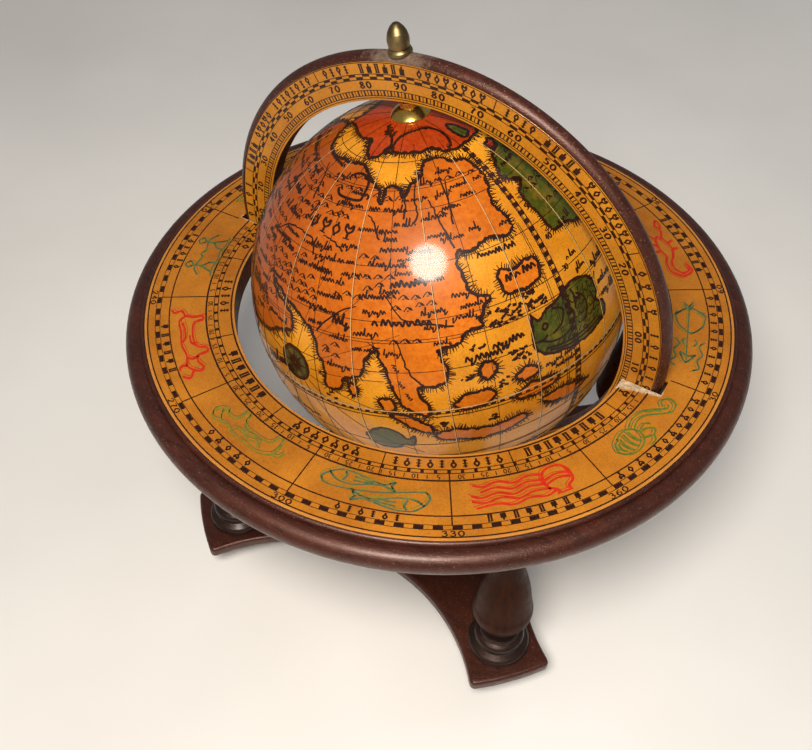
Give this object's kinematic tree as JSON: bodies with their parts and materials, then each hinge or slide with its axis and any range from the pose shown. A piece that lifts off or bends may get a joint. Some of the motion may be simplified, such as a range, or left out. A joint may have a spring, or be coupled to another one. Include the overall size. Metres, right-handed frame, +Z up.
{
  "type": "tabletop globe",
  "caption": "Small antique-style terrestrial globe on two pivots in a printed meridian ring, set in a printed horizon ring on four turned wooden legs.",
  "frame": {"origin": "on the table, straight below the centre of the globe", "axes": "+Z up; the meridian ring stands in the XZ plane, with the pole leaning towards -X; -Y is the front"},
  "size_m": [0.2206, 0.2206, 0.2217],
  "materials": {
    "mahogany": "dark red-brown stained wood under a satin varnish",
    "ebony": "almost black stained wood, glossy",
    "pear_wood": "brown stained turned wood, glossy varnish",
    "core_wood": "bare pale wood, unseen inside the globe",
    "print": "printed paper under glossy yellow varnish",
    "card": "raw grey-brown card, unseen inside the globe",
    "brass": "polished brass with light tarnish",
    "steel": "plain steel screw"
  },
  "bodies": {
    "stand": {"base_plate": "mahogany", "foot_front_right": "mahogany", "leg_screw_front_right": "steel", "leg_ring_front_right": "ebony", "leg_front_right": "pear_wood", "foot_front_left": "mahogany", "leg_screw_front_left": "steel", "leg_ring_front_left": "ebony", "leg_front_left": "pear_wood", "foot_back_left": "mahogany", "leg_screw_back_left": "steel", "leg_ring_back_left": "ebony", "leg_back_left": "pear_wood", "foot_back_right": "mahogany", "leg_screw_back_right": "steel", "leg_ring_back_right": "ebony", "leg_back_right": "pear_wood", "horizon_ring": "mahogany", "horizon_paper": "print", "cradle_post": "ebony", "cradle_screw": "steel"},
    "meridian": {"meridian_ring": "mahogany", "meridian_paper_front": "print", "meridian_paper_back": "print", "finial_collar": "brass", "finial": "brass", "north_pivot": "brass", "south_pivot": "brass", "north_spacer": "brass", "south_spacer": "brass"},
    "globe": {"globe_north": "print", "globe_south": "print", "globe_hoop": "card", "globe_core": "core_wood", "cap_north": "brass", "cap_south": "brass"}
  },
  "joints": [
    {"name": "meridian_slide", "type": "hinge", "parent": "stand", "child": "meridian", "pos_m": [0, 0, 0.1291], "axis": [0, 1, 0], "range_deg": [-75, 95]},
    {"name": "globe_spin", "type": "hinge", "parent": "meridian", "child": "globe", "pos_m": [0, 0, 0.1291], "axis": [-0.1822, 0, 0.9833], "continuous": true}
  ]
}
